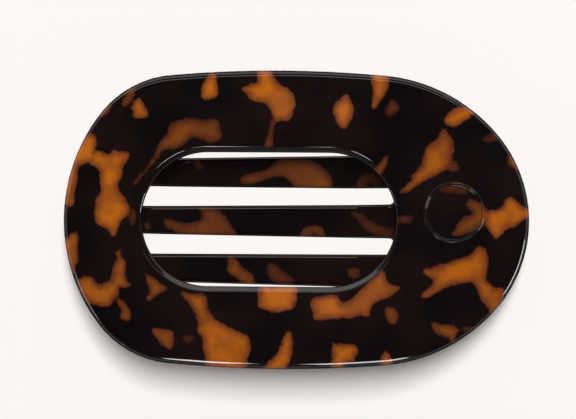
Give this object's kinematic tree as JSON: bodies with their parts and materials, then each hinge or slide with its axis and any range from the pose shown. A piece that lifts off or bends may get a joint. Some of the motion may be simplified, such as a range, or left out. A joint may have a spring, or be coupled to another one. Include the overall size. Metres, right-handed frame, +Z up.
{
  "type": "barrette",
  "caption": "Flat oval spring barrette: an open-centred face plate with a thumb disc, over a tined jaw that is hinged under the disc's end and held shut by a torsion spring.",
  "frame": {"origin": "on the rest surface, under the middle of the face plate's length and width", "axes": "+X along the plate from the jaw's tips to the thumb end, +Y across the plate, +Z up out of the plate's face"},
  "size_m": [0.1, 0.0636, 0.0164],
  "materials": {
    "plate_plastic": "polished tortoiseshell",
    "jaw_plastic": "polished tortoiseshell",
    "pin_steel": "drawn",
    "spring_steel": "drawn wire"
  },
  "bodies": {
    "jaw": {"tined_jaw": "jaw_plastic"},
    "plate": {"face_plate": "plate_plastic", "hinge_pin": "pin_steel", "torsion_spring": "spring_steel"}
  },
  "joints": [
    {"name": "plate_hinge", "type": "hinge", "parent": "jaw", "child": "plate", "pos_m": [0.027, 0, 0.0088], "axis": [0, 1, 0], "range_deg": [0, 17], "stiffness_Nm_per_rad": 0.1, "springref_deg": -57.3, "deforming": ["torsion_spring"]}
  ]
}
